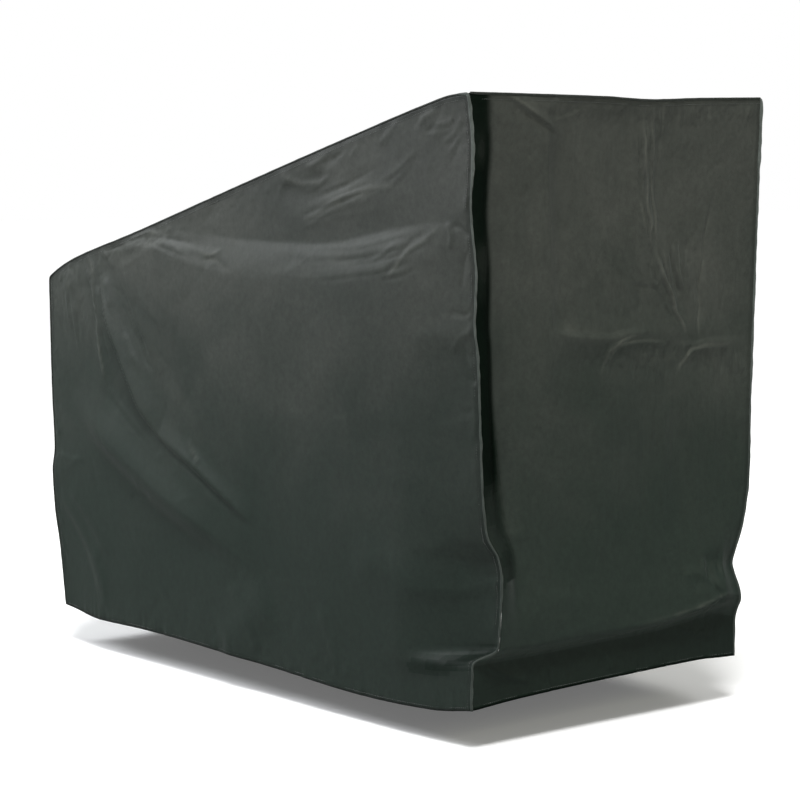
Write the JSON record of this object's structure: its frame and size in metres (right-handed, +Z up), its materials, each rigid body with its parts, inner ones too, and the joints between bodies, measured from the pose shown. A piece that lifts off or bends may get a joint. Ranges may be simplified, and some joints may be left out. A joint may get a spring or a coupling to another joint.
{
  "type": "fitted exercise bike cover",
  "caption": "Fitted cloth cover with a sloping top, tall at the handlebar end and low at the rear, open at its hem.",
  "frame": {"origin": "under the top panel, on the middle plane, where the middle of the handlebars holds the cover up, 0.15 m behind the front panel", "axes": "+X along the bike towards its tall handlebar end, +Y across the bike, +Z up"},
  "size_m": [1.3833, 0.7513, 1.0814],
  "materials": {
    "cover_cloth": "coated plain-weave polyester, soft sheen",
    "seam_binding": "the same cloth rolled and stitched"
  },
  "bodies": {
    "root": {"side_left": "cover_cloth", "side_right": "cover_cloth", "front_panel": "cover_cloth", "rear_panel": "cover_cloth", "top_panel": "cover_cloth", "left_binding": "seam_binding", "right_binding": "seam_binding", "front_top_binding": "seam_binding", "rear_top_binding": "seam_binding"}
  },
  "joints": []
}
